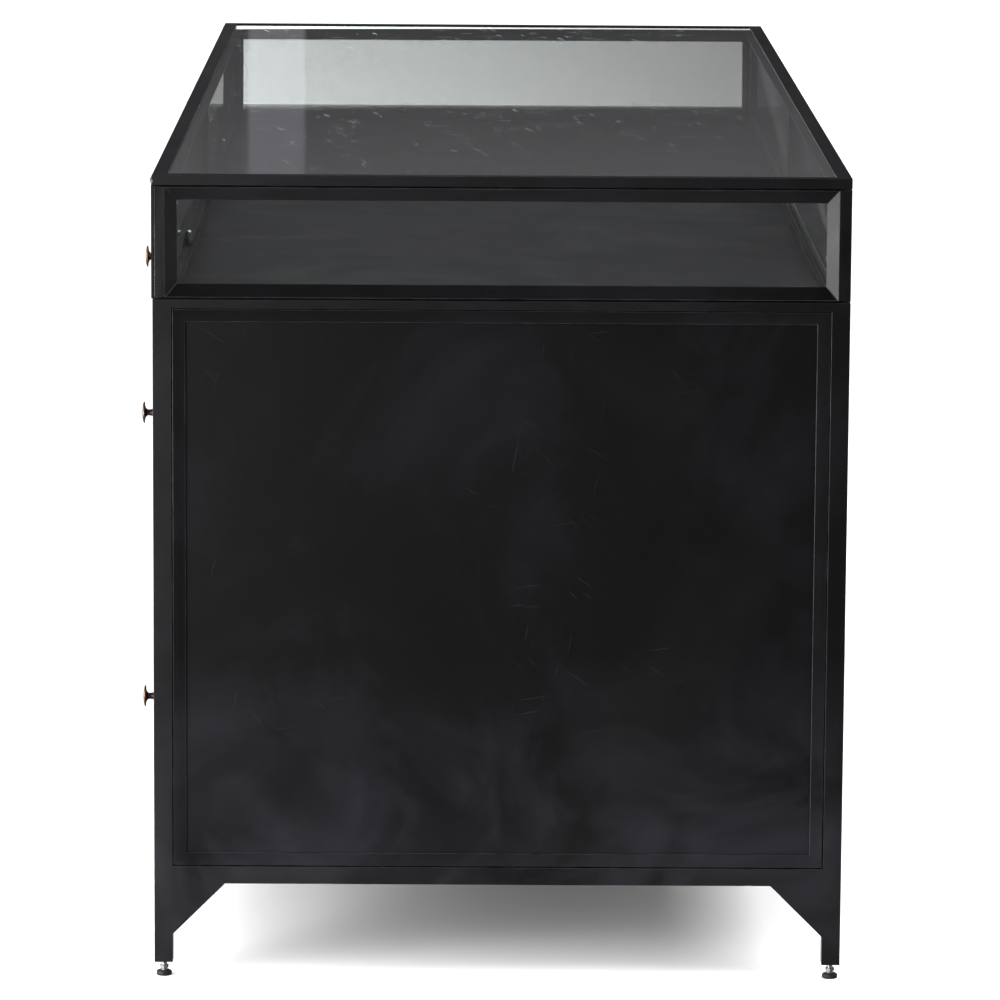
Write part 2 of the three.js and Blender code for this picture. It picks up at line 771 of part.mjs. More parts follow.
function addKnob(name, length, x, y, z) {
  const mesh = new THREE.Mesh(knobGeometry(length), bronzeFinish());
  mesh.name = name;
  mesh.rotation.x = Math.PI; // the disc faces the front
  mesh.position.set(x, y - GAP, z);
  displayCase.add(mesh);
}

// The second knob of a pair mirrors the first one about the middle of its drawer.
function addKnobs(name, length, side, y, z) {
  const outer = END - KNOB_FROM_END;
  const inner = INNER_END + STILE / 2 - outer;
  addKnob(`${name}_knob_outer`, length, side * outer, y, z);
  addKnob(`${name}_knob_inner`, length, side * inner, y, z);
}

function glide(x, y) {
  const nutTop = LEG_BOTTOM - GAP;
  return join([
    rod("z", GLIDE_PAD, 0, GLIDE_PAD_HEIGHT, [x, y], 20),
    rod("z", GLIDE_STEM, GLIDE_PAD_HEIGHT - 1, GLIDE_STEM_TOP, [x, y], 12),
    rod("z", GLIDE_NUT, nutTop - GLIDE_NUT_HEIGHT, nutTop, [x, y], 6),
  ]);
}

// ---------------------------------------------------------------- assembly
addSolid("top_frame", topFrame(), ironFinish());
addSolid("top_glass", topGlass(), glassFinish());
addSolid("front_frame", frontFrame(), ironFinish());
addSolid("back_frame", backFrame(), ironFinish());
addSolid("back_window_frame", backWindowFrame(), ironFinish());
addSolid("deck", deck(), sheetFinish());
addSolid("bottom_pan", bottomPan(), sheetFinish());
addSolid("centre_divider", centreDivider(), galvanisedFinish());

for (const [name, side] of SIDES) {
  addSolid(`${name}_end_frame`, endFrame(side), ironFinish());
  addSolid(`${name}_end_moulding`, moulding(endPanel(side)), ironFinish());
  addSolid(`${name}_end_sheet`, sheet(endPanel(side)), sheetFinish());
  addSolid(`${name}_window_frame`, endWindowFrame(side), ironFinish());
  addSolid(`${name}_window_glass`, endWindowGlass(side), glassFinish());
  addSolid(`${name}_back_moulding`, moulding(backPanel(side)), ironFinish());
  addSolid(`${name}_back_sheet`, sheet(backPanel(side)), sheetFinish());
  addSolid(`${name}_back_glass`, backGlass(side), glassFinish());

  addSolid(`${name}_flap_frame`, flapFrame(side), ironFinish());
  addSolid(`${name}_flap_glass`, flapGlass(side), glassFinish());
  addKnobs(`${name}_flap`, FLAP_KNOB, side, FLAP_FACE, FLAP_KNOB_Z);
  for (const hinge of hingesOf(side)) {
    addSolid(`${name}_flap_hinge_pin_${hinge.name}`, hingePin(hinge), zincFinish());
  }

  for (const [level, row] of Object.entries(ROWS)) {
    const drawer = `${name}_${level}_drawer`;
    addSolid(`${drawer}_front`, drawerFront(side, row), sheetFinish());
    addSolid(`${drawer}_box`, drawerBox(side, row), galvanisedFinish());
    addSolid(`${drawer}_runners`, runnerPair(side, row), galvanisedFinish());
    addKnobs(drawer, DRAWER_KNOB, side, FRONT, row.knobZ);
  }

  for (const [place, hand] of [
    ["front", -1],
    ["back", 1],
  ]) {
    const x = side * (END - LEG / 2);
    const y = hand * (SIDE - LEG / 2);
    addSolid(`${name}_${place}_glide`, glide(x, y), zincFinish());
  }
}

// The knobs stand out at the front, so the case moves back to centre the whole on the origin.
displayCase.position.y = (GAP + DRAWER_KNOB) / 2;

const part = new THREE.Group();
part.add(displayCase);
export default part;
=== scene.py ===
"""Looks of a glass-topped display case of blackened iron: an upright glazed show chamber on a base with
four wide drawers. The CAD frame gives every place and size; lengths are in metres, +Z is up, the drawers
and flaps face -Y and the end that the camera sees faces +X."""
import math

import bmesh
import bpy
from mathutils import Matrix, Vector

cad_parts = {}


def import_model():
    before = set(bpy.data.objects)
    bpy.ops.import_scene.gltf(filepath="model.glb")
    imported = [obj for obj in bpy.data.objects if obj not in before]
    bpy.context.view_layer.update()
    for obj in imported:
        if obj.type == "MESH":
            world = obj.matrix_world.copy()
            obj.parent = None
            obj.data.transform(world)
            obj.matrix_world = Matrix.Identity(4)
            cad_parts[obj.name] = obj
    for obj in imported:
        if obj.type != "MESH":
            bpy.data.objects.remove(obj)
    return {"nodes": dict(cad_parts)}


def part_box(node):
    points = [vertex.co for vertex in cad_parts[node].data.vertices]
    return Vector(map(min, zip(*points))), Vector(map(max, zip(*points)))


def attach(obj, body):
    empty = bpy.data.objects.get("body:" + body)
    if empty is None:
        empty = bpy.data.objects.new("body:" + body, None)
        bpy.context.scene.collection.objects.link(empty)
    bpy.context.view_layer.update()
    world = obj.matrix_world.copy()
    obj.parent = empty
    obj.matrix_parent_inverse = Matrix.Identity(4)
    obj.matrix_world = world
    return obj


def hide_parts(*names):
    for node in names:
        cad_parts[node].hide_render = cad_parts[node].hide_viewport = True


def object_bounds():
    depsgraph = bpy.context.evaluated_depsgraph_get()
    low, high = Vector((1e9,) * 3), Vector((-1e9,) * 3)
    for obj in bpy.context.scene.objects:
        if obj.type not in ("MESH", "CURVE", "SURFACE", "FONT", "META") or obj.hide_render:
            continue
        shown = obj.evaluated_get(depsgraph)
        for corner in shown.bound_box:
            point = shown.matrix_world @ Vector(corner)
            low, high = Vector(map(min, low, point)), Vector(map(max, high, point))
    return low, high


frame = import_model()
CAD_LOW, CAD_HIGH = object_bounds()

MM = 0.001
NODES = frame["nodes"]
SIDES = ("right", "left")
DRAWERS = [f"{side}_{row}_drawer" for side in SIDES for row in ("upper", "lower")]
GLIDES = [f"{side}_{end}_glide" for side in SIDES for end in ("front", "back")]

# Camera: a long lens a little above the case, looking along -X at one end.
FOCAL_LENGTH = 206.1  # millimetres, on a sensor 36 wide
SENSOR = 36.0
CAMERA_DISTANCE = 5.445  # from the near end of the case
CAMERA_SIDE = -0.0294
CAMERA_HEIGHT = 1.3943
PITCH = math.radians(9.588)  # down
YAW = math.radians(0.429)  # towards +Y
ROLL = math.radians(0.383)

# Studio: radiances, and the top of the bright sweep behind the case as the sine of its elevation.
WHITE = 1.4
SWEEP_LEFT = (2.55, 2.7, 2.65)
SWEEP_RIGHT = (1.06, 1.08, 1.07)
SWEEP_SPREAD = 0.045  # sine of the angle, to either side, over which one turns into the other
SWEEP_TOP = 0.08497
SWEEP_TILT = 0.0089
AMBIENT = (0.55, 0.55, 0.56)
AMBIENT_FRONT = (2.2, 2.2, 2.2)
DIM_ROOM = (0.112, 0.112, 0.116)
DIM_HORIZON = (0.055, 0.055, 0.058)  # the dim room just above the sweep
PALE_POST = (0.175, 0.172, 0.19)  # a pale post in the dim room, mirrored by the top glass
POST_EDGES = (-0.0368, -0.0270)  # sines of the angle to either side
FLAG = (0.10, 0.10, 0.105)  # dark flags that stand at both sides of the sweep's middle
FLAG_LEFT = (-0.16, -0.0388)  # sines too, as are the sweep's spread and the next pair
FLAG_RIGHT = (0.0508, 0.16)
ROOM_CEILING = (0.05, 0.05, 0.055)
FLOOR_LEFT = (0.36, 0.36, 0.39)  # the floor in front of the case, as its end reflects it
FLOOR_RIGHT = (0.05, 0.05, 0.055)

# Where one part of the studio turns into the next, as the X, Y or Z of a unit vector that points there.
BACK_HALF = (-0.5, -0.8)
AMBIENT_TURN = (-0.2, 0.8)
FLOOR_TURN = (-0.5, 0.5)
FLOOR_TO_ROOM = (-0.30, -0.06)
SWEEP_EDGE = 0.0001  # widths of the turn, from here on
HORIZON_FADE = 0.025
SOFT_EDGE = 0.0004

# Painted light on the iron nearest the floor, a lighter tone in place of light that falls there: its
# colour, and the heights it fades between.
PAINTED_LIGHT_NEAR_FLOOR = (0.0078, 0.0074, 0.0102)
PAINTED_LIGHT_FULL = 0.14
PAINTED_LIGHT_GONE = 0.32


# ---- small builders -------------------------------------------------------------------------------


def new_object(name, mesh, *materials):
    """A mesh object linked to the scene, with its materials."""
    thing = bpy.data.objects.new(name, mesh)
    for material in materials:
        mesh.materials.append(material)
    bpy.context.scene.collection.objects.link(thing)
    return thing


def mesh_of(name, bm, smooth=True):
    """Turns a bmesh into a mesh with its faces pointing out."""
    bmesh.ops.recalc_face_normals(bm, faces=bm.faces)
    for face in bm.faces:
        face.smooth = smooth
    mesh = bpy.data.meshes.new(name)
    bm.to_mesh(mesh)
    bm.free()
    return mesh


def turned(bm, profile, place, segments=48):
    """Adds a closed solid of revolution. The profile is (radius, height) from foot to crown, with both
    ends on the axis; place takes (x, y, height) to the row frame."""
    rings = []
    for radius, height in profile:
        if radius == 0:
            rings.append([bm.verts.new(place @ Vector((0, 0, height)))])
            continue
        ring = []
        for k in range(segments):
            a = 2 * math.pi * k / segments
            ring.append(bm.verts.new(place @ Vector((radius * math.cos(a), radius * math.sin(a), height))))
        rings.append(ring)
    for low, high in zip(rings, rings[1:]):
        for k in range(segments):
            n = (k + 1) % segments
            corners = [low[k % len(low)], low[n % len(low)], high[n % len(high)], high[k % len(high)]]
            bm.faces.new(list(dict.fromkeys(corners)))


def block(bm, low, high):
    """Adds an axis-aligned block."""
    size = Vector(high) - Vector(low)
    centre = (Vector(high) + Vector(low)) / 2
    matrix = Matrix.Translation(centre) @ Matrix.Diagonal((*size, 1))
    return bmesh.ops.create_cube(bm, size=1, matrix=matrix)["verts"]


# ---- shader helpers -------------------------------------------------------------------------------


class Shader:
    """A material's node tree, with short calls for the nodes that the finishes below are made of."""

    def __init__(self, name):
        self.material = bpy.data.materials.new(name)
        self.material.use_nodes = True
        self.tree = self.material.node_tree
        self.bsdf = self.tree.nodes["Principled BSDF"]
        self.where = self.node("ShaderNodeTexCoord")
        self.place = self.where.outputs["Object"]
        self.flat = None

    def node(self, kind, **settings):
        made = self.tree.nodes.new(kind)
        for key, value in settings.items():
            setattr(made, key, value)
        return made

    def link(self, output, socket):
        self.tree.links.new(output, socket)

    def fixed(self, **values):
        """Constant shader values, set on the shader's own sockets: Base_Color=... sets Base Color."""
        for key, value in values.items():
            self.bsdf.inputs[key.replace("_", " ")].default_value = value

    def stretched(self, scale):
        """Object coordinates with each axis scaled."""
        mapping = self.node("ShaderNodeMapping")
        mapping.inputs["Scale"].default_value = scale
        self.link(self.place, mapping.inputs["Vector"])
        return mapping.outputs["Vector"]

    def on_face(self):
        """Coordinates that lie in each face: across and up it, or along X and Y on a level one."""
        if self.flat is None:
            place = self.node("ShaderNodeSeparateXYZ")
            facing = self.node("ShaderNodeSeparateXYZ")
            self.link(self.place, place.inputs[0])
            self.link(self.where.outputs["Normal"], facing.inputs[0])
            x, y, z = place.outputs
            ends = self.math("GREATER_THAN", self.math("ABSOLUTE", facing.outputs[0], 0), 0.7)
            level = self.math("GREATER_THAN", self.math("ABSOLUTE", facing.outputs[2], 0), 0.7)
            made = self.node("ShaderNodeCombineXYZ")
            self.link(self.pick(ends, x, y), made.inputs[0])
            self.link(self.pick(level, z, y), made.inputs[1])
            self.flat = made.outputs[0]
        return self.flat

    def pick(self, chosen, a, b):
        """a where chosen is 0 and b where it is 1."""
        return self.math("ADD", a, self.math("MULTIPLY", chosen, self.math("SUBTRACT", b, a)))

    def streaks(self, turn, scale, length, detail=1.0):
        """Noise drawn out along a line in each face, turned by an angle from its first coordinate."""
        mapping = self.node("ShaderNodeMapping")
        mapping.vector_type = "TEXTURE"
        mapping.inputs["Rotation"].default_value = (0, 0, turn)
        mapping.inputs["Scale"].default_value = (length * scale, 1, 1)
        self.link(self.on_face(), mapping.inputs["Vector"])
        made = self.node("ShaderNodeTexNoise", noise_dimensions="2D")
        made.inputs["Scale"].default_value = scale
        made.inputs["Detail"].default_value = detail
        self.link(mapping.outputs["Vector"], made.inputs["Vector"])
        return made.outputs["Fac"]

    def noise(self, scale, detail=4.0, rough=0.55, distortion=0.0, stretch=(1, 1, 1)):
        made = self.node("ShaderNodeTexNoise")
        made.inputs["Scale"].default_value = scale
        made.inputs["Detail"].default_value = detail
        made.inputs["Roughness"].default_value = rough
        made.inputs["Distortion"].default_value = distortion
        self.link(self.stretched(stretch), made.inputs["Vector"])
        return made.outputs["Fac"]

    def ramp(self, value, *stops):
        """A colour ramp through (position, colour) stops; a number stands for a grey."""
        made = self.node("ShaderNodeValToRGB")
        points = made.color_ramp.elements
        while len(points) < len(stops):
            points.new(0.5)
        for point, (position, colour) in zip(points, stops):
            point.position = position
            point.color = (*colour, 1) if isinstance(colour, tuple) else (colour, colour, colour, 1)
        self.link(value, made.inputs["Fac"])
        return made.outputs["Color"]

    def band(self, value, low, high, to_low=0.0, to_high=1.0):
        """Maps low..high to to_low..to_high, clamped."""
        made = self.node("ShaderNodeMapRange")
        sockets = ("From Min", "From Max", "To Min", "To Max")
        for socket, number in zip(sockets, (low, high, to_low, to_high)):
            made.inputs[socket].default_value = number
        self.link(value, made.inputs["Value"])
        return made.outputs["Result"]

    def math(self, operation, a, b):
        made = self.node("ShaderNodeMath", operation=operation)
        for socket, value in zip(made.inputs, (a, b)):
            if isinstance(value, (int, float)):
                socket.default_value = value
            else:
                self.link(value, socket)
        return made.outputs[0]

    def mix(self, factor, a, b):
        """Blends two colours."""
        made = self.node("ShaderNodeMix", data_type="RGBA")
        for socket, value in zip((made.inputs[0], made.inputs[6], made.inputs[7]), (factor, a, b)):
            if isinstance(value, tuple):
                socket.default_value = (*value, 1)
            elif isinstance(value, (int, float)):
                socket.default_value = value
            else:
                self.link(value, socket)
        return made.outputs[2]

    def near_floor(self):
        """1 near the floor and 0 from about a third of a metre above it."""
        place = self.node("ShaderNodeSeparateXYZ")
        self.link(self.place, place.inputs[0])
        return self.band(place.outputs[2], PAINTED_LIGHT_FULL, PAINTED_LIGHT_GONE, 1.0, 0.0)

    def scratches(self, turns, scale=300, length=0.06, rare=0.76):
        """Straight, thin, sparse hairlines at several angles: 1 on a line and 0 beside it."""
        lines = 0
        for turn in turns:
            found = self.band(self.streaks(turn, scale, length), rare, rare + 0.03)
            lines = self.math("MAXIMUM", lines, found)
        return lines

    def bump(self, height, distance, strength=1.0):
        made = self.node("ShaderNodeBump")
        made.inputs["Distance"].default_value = distance
        made.inputs["Strength"].default_value = strength
        self.link(height, made.inputs["Height"])
        self.link(made.outputs["Normal"], self.bsdf.inputs["Normal"])


# ---- finishes -------------------------------------------------------------------------------------


def patinated_iron(name, dark, smoke, brown, level, rough_low, rough_high, cloud_scale):
    """Blackened, waxed iron: smoky blue and brown clouds, a few faint hairlines, satin gloss, and a painted
    lighter tone near the floor.
    """
    s = Shader(name)
    clouds = s.noise(cloud_scale, 6, 0.62, 0.6)
    fine = s.noise(38, 5, 0.6)
    grain = s.noise(420, 3, 0.6, stretch=(1, 1, 0.35))
    tone = s.mix(s.band(clouds, 0.46, 0.74), dark, smoke)
    tone = s.mix(s.band(s.noise(cloud_scale * 0.7, 4, 0.5, 1.2), 0.56, 0.78), tone, brown)
    tone = s.mix(s.band(fine, 0.3, 0.75, 0.0, 0.35), tone, dark)
    # Painted light: lighter patches near the floor, in place of light that falls on the iron there.
    patches = s.band(s.noise(7, 6, 0.6, 0.8), 0.4, 0.64, 0.12, 1.0)
    tone = s.mix(s.math("MULTIPLY", s.near_floor(), patches), tone, PAINTED_LIGHT_NEAR_FLOOR)
    hairlines = s.scratches((0.15, 1.35, -0.6, 2.3), rare=0.78)
    sparse = s.math("MULTIPLY", hairlines, s.band(s.noise(5.5, 3), 0.54, 0.7))
    tone = s.mix(s.math("MULTIPLY", sparse, 0.3), tone, tuple(1.8 * c + 0.008 for c in smoke))
    s.link(tone, s.bsdf.inputs["Base Color"])
    cloudy = s.band(clouds, 0.35, 0.75, rough_low, rough_high)
    rough = s.math("ADD", cloudy, s.band(grain, 0.3, 0.7, -0.03, 0.03))
    s.link(s.math("SUBTRACT", rough, s.math("MULTIPLY", sparse, 0.05)), s.bsdf.inputs["Roughness"])
    relief = s.math("ADD", s.math("MULTIPLY", fine, 0.6), s.math("MULTIPLY", grain, 0.4))
    s.bump(s.math("SUBTRACT", relief, s.math("MULTIPLY", sparse, 0.3)), 0.00018, 0.5)
    s.fixed(Metallic=0.0, IOR=1.5)
    s.fixed(**{"Specular_IOR_Level": level})
    return s.material


def edge_wear_and_painted_highlight():
    """Arrises a little brighter than the flats beside them: partly rubbed wear, partly a painted highlight.
    """
    s = Shader("iron_worn_edge")
    wear = s.noise(60, 5, 0.6)
    tone = s.ramp(wear, (0.3, (0.004, 0.004, 0.005)), (0.7, (0.02, 0.0195, 0.022)))
    s.link(tone, s.bsdf.inputs["Base Color"])
    s.link(s.band(wear, 0.3, 0.7, 0.42, 0.3), s.bsdf.inputs["Roughness"])
    s.bump(s.noise(300, 3), 0.0001, 0.4)
    s.fixed(Metallic=0.1, IOR=1.5)
    s.fixed(**{"Specular_IOR_Level": 0.2})
    return s.material


def oiled_steel():
    """Dull dark sheet steel inside the base."""
    s = Shader("oiled_steel")
    brushed = s.noise(260, 3, 0.6, stretch=(0.06, 1, 1))
    blotch = s.noise(9, 5, 0.6, 0.4)
    tone = s.ramp(blotch, (0.3, (0.028, 0.028, 0.031)), (0.72, (0.075, 0.074, 0.078)))
    s.link(tone, s.bsdf.inputs["Base Color"])
    rough = s.math("ADD", s.band(blotch, 0.3, 0.7, 0.38, 0.52), s.band(brushed, 0.3, 0.7, -0.05, 0.05))
    s.link(rough, s.bsdf.inputs["Roughness"])
    s.bump(brushed, 0.0001, 0.3)
    s.fixed(Metallic=0.6)
    return s.material


def clear_glass():
    """Float glass: a faint green tint, wipe marks and hairline scratches. Shadow rays pass through, so
    the show chamber is lit by the lamps outside it."""
    s = Shader("clear_glass")
    film = s.noise(7, 5, 0.6, 0.8, stretch=(1, 0.5, 1))
    scratch = s.scratches((0.3, 1.7), rare=0.78)
    rough = s.math("ADD", s.band(film, 0.5, 0.85, 0.0, 0.006), s.math("MULTIPLY", scratch, 0.06))
    s.link(rough, s.bsdf.inputs["Roughness"])
    s.fixed(Base_Color=(0.984, 0.99, 0.988, 1), IOR=1.5, Metallic=0.0)
    s.fixed(**{"Transmission_Weight": 1.0})
    path = s.node("ShaderNodeLightPath")
    clear = s.node("ShaderNodeBsdfTransparent")
    clear.inputs["Color"].default_value = (0.88, 0.89, 0.89, 1)
    mixed = s.node("ShaderNodeMixShader")
    s.link(path.outputs["Is Shadow Ray"], mixed.inputs[0])
    s.link(s.bsdf.outputs[0], mixed.inputs[1])
    s.link(clear.outputs[0], mixed.inputs[2])
    s.link(mixed.outputs[0], s.tree.nodes["Material Output"].inputs["Surface"])
    return s.material


def copper_bronze():
    """Aged copper: rubbed bright on the raised middle, dark in the hollow behind."""
    s = Shader("copper_bronze")
    spots = s.noise(180, 5, 0.65)
    dark = (0.3, (0.07, 0.036, 0.024))
    brown = (0.55, (0.17, 0.095, 0.065))
    bright = (0.8, (0.33, 0.21, 0.155))
    tone = s.ramp(spots, dark, brown, bright)
    s.link(tone, s.bsdf.inputs["Base Color"])
    s.link(s.band(spots, 0.3, 0.75, 0.42, 0.26), s.bsdf.inputs["Roughness"])
    s.bump(s.noise(700, 2), 0.00006, 0.5)
    s.fixed(Metallic=0.9)
    return s.material


def dark_bronze():
    """The neck and back of a knob."""
    s = Shader("dark_bronze")
    spots = s.noise(240, 4, 0.6)
    tone = s.ramp(spots, (0.35, (0.03, 0.025, 0.023)), (0.75, (0.11, 0.085, 0.075)))
    s.link(tone, s.bsdf.inputs["Base Color"])
    s.link(s.band(spots, 0.3, 0.7, 0.26, 0.4), s.bsdf.inputs["Roughness"])
    s.bump(s.noise(900, 2), 0.00005, 0.5)
    s.fixed(Metallic=0.7)
    return s.material


def zinc_plate():
    """Bright zinc, slightly mottled."""
    s = Shader("zinc_plate")
    spangle = s.noise(500, 4, 0.6)
    tone = s.ramp(spangle, (0.3, (0.42, 0.43, 0.45)), (0.7, (0.72, 0.73, 0.75)))
    s.link(tone, s.bsdf.inputs["Base Color"])
    s.link(s.band(spangle, 0.3, 0.7, 0.22, 0.38), s.bsdf.inputs["Roughness"])
    s.bump(spangle, 0.00005, 0.3)
    s.fixed(Metallic=0.95)
    return s.material


def black_plastic():
    """Black moulded plastic, finely pebbled: glide pads and catch housings."""
    s = Shader("black_plastic")
    pebble = s.noise(1400, 2, 0.5)
    patches = s.noise(120, 4, 0.6)
    tone = s.ramp(patches, (0.35, (0.005, 0.005, 0.0055)), (0.8, (0.02, 0.0195, 0.019)))
    s.link(tone, s.bsdf.inputs["Base Color"])
    s.link(s.band(patches, 0.3, 0.7, 0.5, 0.68), s.bsdf.inputs["Roughness"])
    s.bump(pebble, 0.00008, 0.5)
    s.fixed(**{"Specular_IOR_Level": 0.25})
    return s.material


def floor_paper():
    """Plain pale studio floor. Far from the case it turns into the same white as what is beyond it."""
    s = Shader("floor_paper")
    s.link(s.ramp(s.noise(1.5, 3), (0.3, 0.80), (0.7, 0.83)), s.bsdf.inputs["Base Color"])
    s.link(s.band(s.noise(60, 3), 0.3, 0.7, 0.8, 0.9), s.bsdf.inputs["Roughness"])
    s.fixed(**{"Specular_IOR_Level": 0.2})
    length = s.node("ShaderNodeVectorMath", operation="LENGTH")
    s.link(s.stretched((0.75, 1, 1)), length.inputs[0])
    glow = s.node("ShaderNodeEmission")
    glow.inputs["Strength"].default_value = WHITE
    mixed = s.node("ShaderNodeMixShader")
    s.link(s.band(length.outputs["Value"], 1.1, 2.3), mixed.inputs[0])
    s.link(s.bsdf.outputs[0], mixed.inputs[1])
    s.link(glow.outputs[0], mixed.inputs[2])
    s.link(mixed.outputs[0], s.tree.nodes["Material Output"].inputs["Surface"])
    return s.material


IRON = patinated_iron(
    "black_iron", dark=(0.0006, 0.00055, 0.0008), smoke=(0.0023, 0.0021, 0.0035),
    brown=(0.0019, 0.0015, 0.0013), level=0.30, rough_low=0.42, rough_high=0.54, cloud_scale=4.2,
)
SHEET_IRON = patinated_iron(
    "black_sheet", dark=(0.0012, 0.0012, 0.0014), smoke=(0.0042, 0.0037, 0.0066),
    brown=(0.0036, 0.003, 0.0027), level=0.2, rough_low=0.43, rough_high=0.5, cloud_scale=3.4,
)
DECK_IRON = patinated_iron(
    "deck_iron", dark=(0.0008, 0.0008, 0.0011), smoke=(0.0042, 0.0041, 0.0049),
    brown=(0.0038, 0.0036, 0.0032), level=0.075, rough_low=0.46, rough_high=0.74, cloud_scale=3.6,
)
EDGE_WEAR_AND_PAINTED_HIGHLIGHT = edge_wear_and_painted_highlight()
OILED_STEEL = oiled_steel()
GLASS = clear_glass()
COPPER = copper_bronze()
DARK_BRONZE = dark_bronze()
ZINC = zinc_plate()
PLASTIC = black_plastic()

OWN_FINISHES = {"deck": DECK_IRON, "moulding": SHEET_IRON}
FINISHES = {
    "black_iron": IRON,
    "black_sheet": SHEET_IRON,
    "inner_steel": OILED_STEEL,
    "clear_glass": GLASS,
    "copper_bronze": COPPER,
    "zinc_plate": ZINC,
}


# ---- the CAD nodes --------------------------------------------------------------------------------

# Rounding of each kind of node's edges: the first word that its name contains decides.
ARRISES = {
    "end_frame": 1.5 * MM,
    "window_frame": 1.0 * MM,
    "flap_frame": 1.0 * MM,
    "moulding": 0.7 * MM,
    "frame": 0.8 * MM,
    "glass": 0.4 * MM,
    "pin": 0.4 * MM,
    "": 0.25 * MM,
}


def soften_edges(node, width, edge_slot=-1):
    """Rounds a node's hard edges, and gives the rounding a slot of its own if one is named."""
    weld = node.modifiers.new("weld", "WELD")
    weld.merge_threshold = 0.01 * MM
    bevel = node.modifiers.new("arris", "BEVEL")
    bevel.width = width
    bevel.segments = 2
    bevel.limit_method = "ANGLE"
    bevel.angle_limit = math.radians(24)
    bevel.use_clamp_overlap = True
    bevel.material = edge_slot
    bevel.harden_normals = False
    normals = node.modifiers.new("normals", "WEIGHTED_NORMAL")
    normals.keep_sharp = False


def dress_node(name, node):
    """Gives a CAD node its finish and its softened edges."""
    slot = node.material_slots[0].material.name.split(".")[0]
    own = next((finish for word, finish in OWN_FINISHES.items() if word in name), None)
    node.material_slots[0].material = own or FINISHES[slot]
    width = next(width for word, width in ARRISES.items() if word in name)
    if slot == "black_iron":
        # The rounded arrises take the lighter edge finish: rubbed wear and a painted highlight.
        node.data.materials.append(EDGE_WEAR_AND_PAINTED_HIGHLIGHT)
        soften_edges(node, width, 1)
    else:
        soften_edges(node, width)


# ---- pieces that stand for CAD nodes --------------------------------------------------------------


def knob_profile(length, radius):
    """Broad foot that tapers to a slim neck, and a thin domed disc that is hollowed behind."""
    rim = length - 2.7 * MM  # where the disc is widest
    neck = 3.1 * MM
    back = rim - 4.2 * MM  # where the neck starts to spread into the disc
    spread = radius - 0.3 * MM - neck
    profile = [(0, 0), (6.4 * MM, 0), (6.5 * MM, 0.4 * MM), (6.3 * MM, 1.0 * MM)]
    for k in range(1, 11):
        t = k / 10
        profile.append((neck + 3.2 * MM * (1 - t) ** 1.3, 1.0 * MM + t * (back - 1.0 * MM)))
    for k in range(1, 11):
        turn = k / 10 * math.pi / 2
        profile.append((neck + spread * (1 - math.cos(turn)) ** 1.15, back + 3.9 * MM * math.sin(turn)))
    profile += [(radius, rim), (radius, rim + 0.3 * MM)]
    for k in range(1, 10):
        turn = k / 10 * math.pi / 2
        profile.append((radius * math.cos(turn), rim + 0.3 * MM + 2.4 * MM * math.sin(turn)))
    profile.append((0, length))
    return profile


def knob(node, body):
    """A turned knob: neck and back in dark bronze, disc rubbed bright."""
    low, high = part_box(node)
    length = high.y - low.y
    radius = (high.x - low.x) / 2
    centre = Vector(((low.x + high.x) / 2, high.y, (low.z + high.z) / 2))
    place = Matrix.Translation(centre) @ Matrix.Rotation(math.radians(90), 4, "X")
    bm = bmesh.new()
    turned(bm, knob_profile(length, radius), place, 64)
    piece = new_object(node + "_turned", mesh_of(node + "_turned", bm), COPPER, DARK_BRONZE)
    back = centre.y - length + 2.9 * MM
    for face in piece.data.polygons:
        if face.center.y > back:
            face.material_index = 1
    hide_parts(node)
    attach(piece, body)


def glide(node):
    """A levelling glide: a round moulded pad, and a zinc screw with a thread and a hexagon."""
    low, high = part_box(node)
    centre = Vector(((low.x + high.x) / 2, (low.y + high.y) / 2, 0))
    place = Matrix.Translation(centre)
    pad_radius = (high.x - low.x) / 2
    pad_top = 5.4 * MM
    bm = bmesh.new()
    turned(bm, [
        (0, 0), (pad_radius - 1.2 * MM, 0), (pad_radius - 0.3 * MM, 0.4 * MM), (pad_radius, 1.3 * MM),
        (pad_radius, 3.2 * MM), (pad_radius - 0.5 * MM, 4.2 * MM), (pad_radius - 2.2 * MM, 5.1 * MM),
        (3.6 * MM, pad_top), (0, pad_top),
    ], place)
    pad = new_object(node + "_pad", mesh_of(node + "_pad", bm), PLASTIC)
    bm = bmesh.new()
    stem = 2.75 * MM
    pitch = 1.0 * MM
    profile = [(0, pad_top - 1 * MM), (3.4 * MM, pad_top - 1 * MM), (3.4 * MM, 6.4 * MM), (stem, 6.6 * MM)]
    height = 6.8 * MM
    while height < high.z - pitch:
        profile += [(stem - 0.35 * MM, height), (stem + 0.15 * MM, height + pitch / 2)]
        height += pitch
    profile += [(stem - 0.5 * MM, high.z), (0, high.z)]
    turned(bm, profile, place, 32)
    turned(bm, [
        (0, 7.4 * MM), (4.5 * MM, 7.4 * MM), (5 * MM, 7.7 * MM), (5 * MM, 10.1 * MM), (4.5 * MM, 10.4 * MM),
        (0, 10.4 * MM),
    ], place, 6)  # hexagon
    screw = new_object(node + "_screw", mesh_of(node + "_screw", bm, smooth=False), ZINC)
    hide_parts(node)
    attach(pad, node)
    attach(screw, node)


def screw_head(bm, place, radius):
    """Adds a low domed screw head with its foot on place's level plane."""
    turned(bm, [
        (0, -0.4 * MM), (radius, -0.4 * MM), (radius, 0.2 * radius), (0.86 * radius, 0.45 * radius),
        (0.5 * radius, 0.6 * radius), (0.42 * radius, 0.35 * radius), (0, 0.35 * radius),
    ], place, 24)


CATCH_WIDTH = 28 * MM
CATCH_HEIGHT = 13 * MM
CHEEK_WIDTH = 22 * MM
CHEEK = 1.2 * MM
CHEEK_PROUD = 0.7 * MM  # of the housing's front


